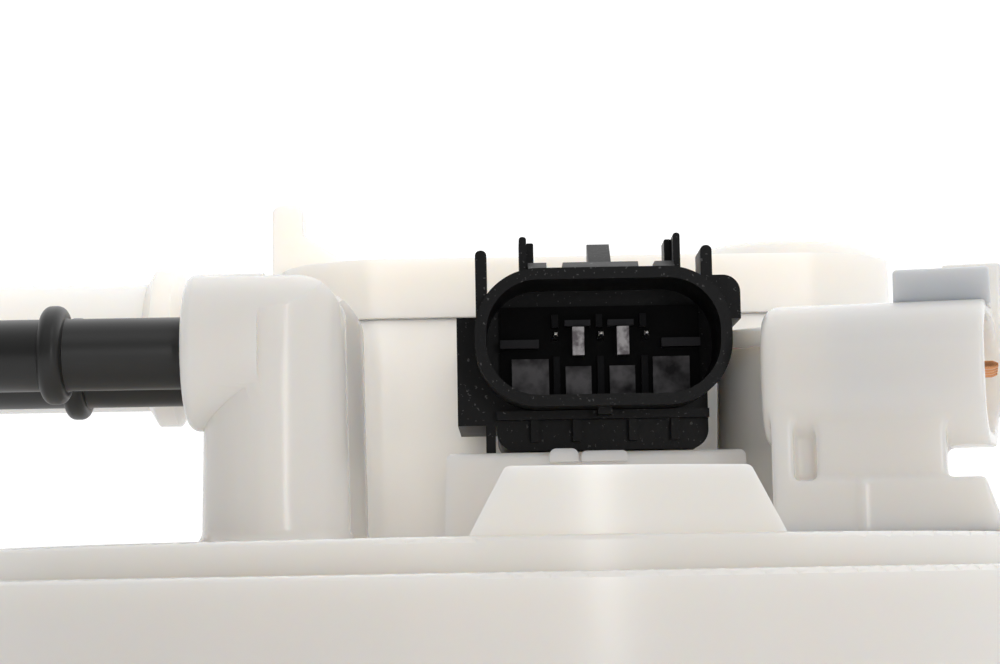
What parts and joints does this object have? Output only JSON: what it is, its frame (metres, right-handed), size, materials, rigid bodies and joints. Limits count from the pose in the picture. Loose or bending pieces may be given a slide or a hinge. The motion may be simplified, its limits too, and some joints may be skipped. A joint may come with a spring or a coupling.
{
  "type": "fuel pump module",
  "caption": "In-tank fuel pump module: round flange head with hose spigots and sockets, guide rods and springs, reservoir with pump, and level sender with float.",
  "frame": {"origin": "centre of the flange's seating plane, on the axis of its tank neck", "axes": "+Z out of the tank, up; +X to the right, towards the main connector; +Y away from the front tab"},
  "size_m": [0.1496, 0.1766, 0.27],
  "materials": {
    "white_acetal": "smooth translucent white moulding",
    "natural_acetal": "natural cream-white moulding",
    "natural_nylon": "natural nylon",
    "black_nylon": "smooth black nylon",
    "sensor_nylon": "fine-grained black glass-filled nylon",
    "insert_nylon": "dark grey moulded insert",
    "tinned_pin": "tin-plated terminal",
    "copper_pin": "bright copper alloy",
    "contact_brass": "contact bronze",
    "zinc_steel": "bright zinc-plated steel",
    "spring_steel": "drawn spring steel",
    "pump_steel": "plated steel can",
    "grey_plastic": "dark grey phenolic",
    "tube_nylon": "black corrugated nylon tube",
    "lead_insulation": "coloured wire insulation",
    "black_rubber": "moulded black rubber",
    "ferrite": "sintered dark metal",
    "carbon": "dark pressed carbon",
    "strainer_mesh": "fine woven nylon mesh",
    "ceramic_card": "white ceramic with dark tracks",
    "float_foam": "closed-cell foam"
  },
  "bodies": {
    "head": {"flange": "white_acetal", "return_spigot": "black_nylon", "supply_spigot": "black_nylon", "vent_housing": "white_acetal", "vent_cover": "white_acetal", "vent_cage": "white_acetal", "sensor_body": "sensor_nylon", "sensor_pins": "tinned_pin", "socket_insert": "insert_nylon", "sensor_seal": "black_rubber", "main_pins": "copper_pin", "main_connector": "white_acetal", "flange_seal": "black_rubber", "guide_rod_left": "zinc_steel", "guide_rod_right": "zinc_steel", "rod_clip_left": "spring_steel", "rod_clip_right": "spring_steel", "spring_left": "spring_steel", "spring_right": "spring_steel", "supply_tube": "tube_nylon", "return_tube": "tube_nylon", "pump_leads": "lead_insulation", "sender_leads": "lead_insulation", "lead_plug": "black_nylon"},
    "vent_float": {"vent_float": "natural_nylon", "vent_needle": "black_rubber"},
    "reservoir": {"reservoir": "natural_acetal", "reservoir_cover": "natural_acetal", "pump_shell": "pump_steel", "inlet_plate": "grey_plastic", "bearing_plate": "grey_plastic", "outlet_cap": "grey_plastic", "magnets": "ferrite", "brushes": "carbon", "pump_terminals": "tinned_pin", "check_spring": "spring_steel", "pump_isolator": "black_rubber", "strainer": "strainer_mesh", "jet_pump": "grey_plastic", "sender_housing": "natural_nylon", "resistor_card": "ceramic_card"},
    "pump_rotor": {"rotor_shaft": "zinc_steel", "armature": "ferrite", "impeller": "carbon"},
    "check_valve": {"check_valve": "black_rubber"},
    "inlet_valve": {"inlet_valve": "black_rubber"},
    "float_arm": {"wiper_carrier": "natural_nylon", "wiper": "contact_brass", "float_arm": "zinc_steel", "float_clip": "spring_steel"},
    "level_float": {"level_float": "float_foam"}
  },
  "joints": [
    {"name": "reservoir_slide", "type": "slide", "parent": "head", "child": "reservoir", "axis": [0, 0, 1], "range_m": [0, 0.04], "stiffness_N_per_m": 800, "springref_m": -0.025, "deforming": ["spring_left", "spring_right", "supply_tube", "return_tube", "pump_leads", "sender_leads"]},
    {"name": "vent_float_lift", "type": "slide", "parent": "head", "child": "vent_float", "axis": [0, 0, 1], "range_m": [0, 0.004]},
    {"name": "pump_rotor_spin", "type": "hinge", "parent": "reservoir", "child": "pump_rotor", "pos_m": [0, 0, -0.145], "axis": [0, 0, 1], "continuous": true},
    {"name": "check_valve_lift", "type": "slide", "parent": "reservoir", "child": "check_valve", "axis": [0, 0, 1], "range_m": [0, 0.0015], "stiffness_N_per_m": 60, "springref_m": -0.001, "deforming": ["check_spring"]},
    {"name": "inlet_valve_lift", "type": "slide", "parent": "reservoir", "child": "inlet_valve", "axis": [0, 0, 1], "range_m": [0, 0.0015]},
    {"name": "float_arm_swing", "type": "hinge", "parent": "reservoir", "child": "float_arm", "pos_m": [0.0665, 0, -0.13], "axis": [-1, 0, 0], "range_deg": [0, 66]},
    {"name": "level_float_turn", "type": "hinge", "parent": "float_arm", "child": "level_float", "pos_m": [0.054, -0.09159, -0.18723], "axis": [1, 0, 0], "continuous": true}
  ]
}
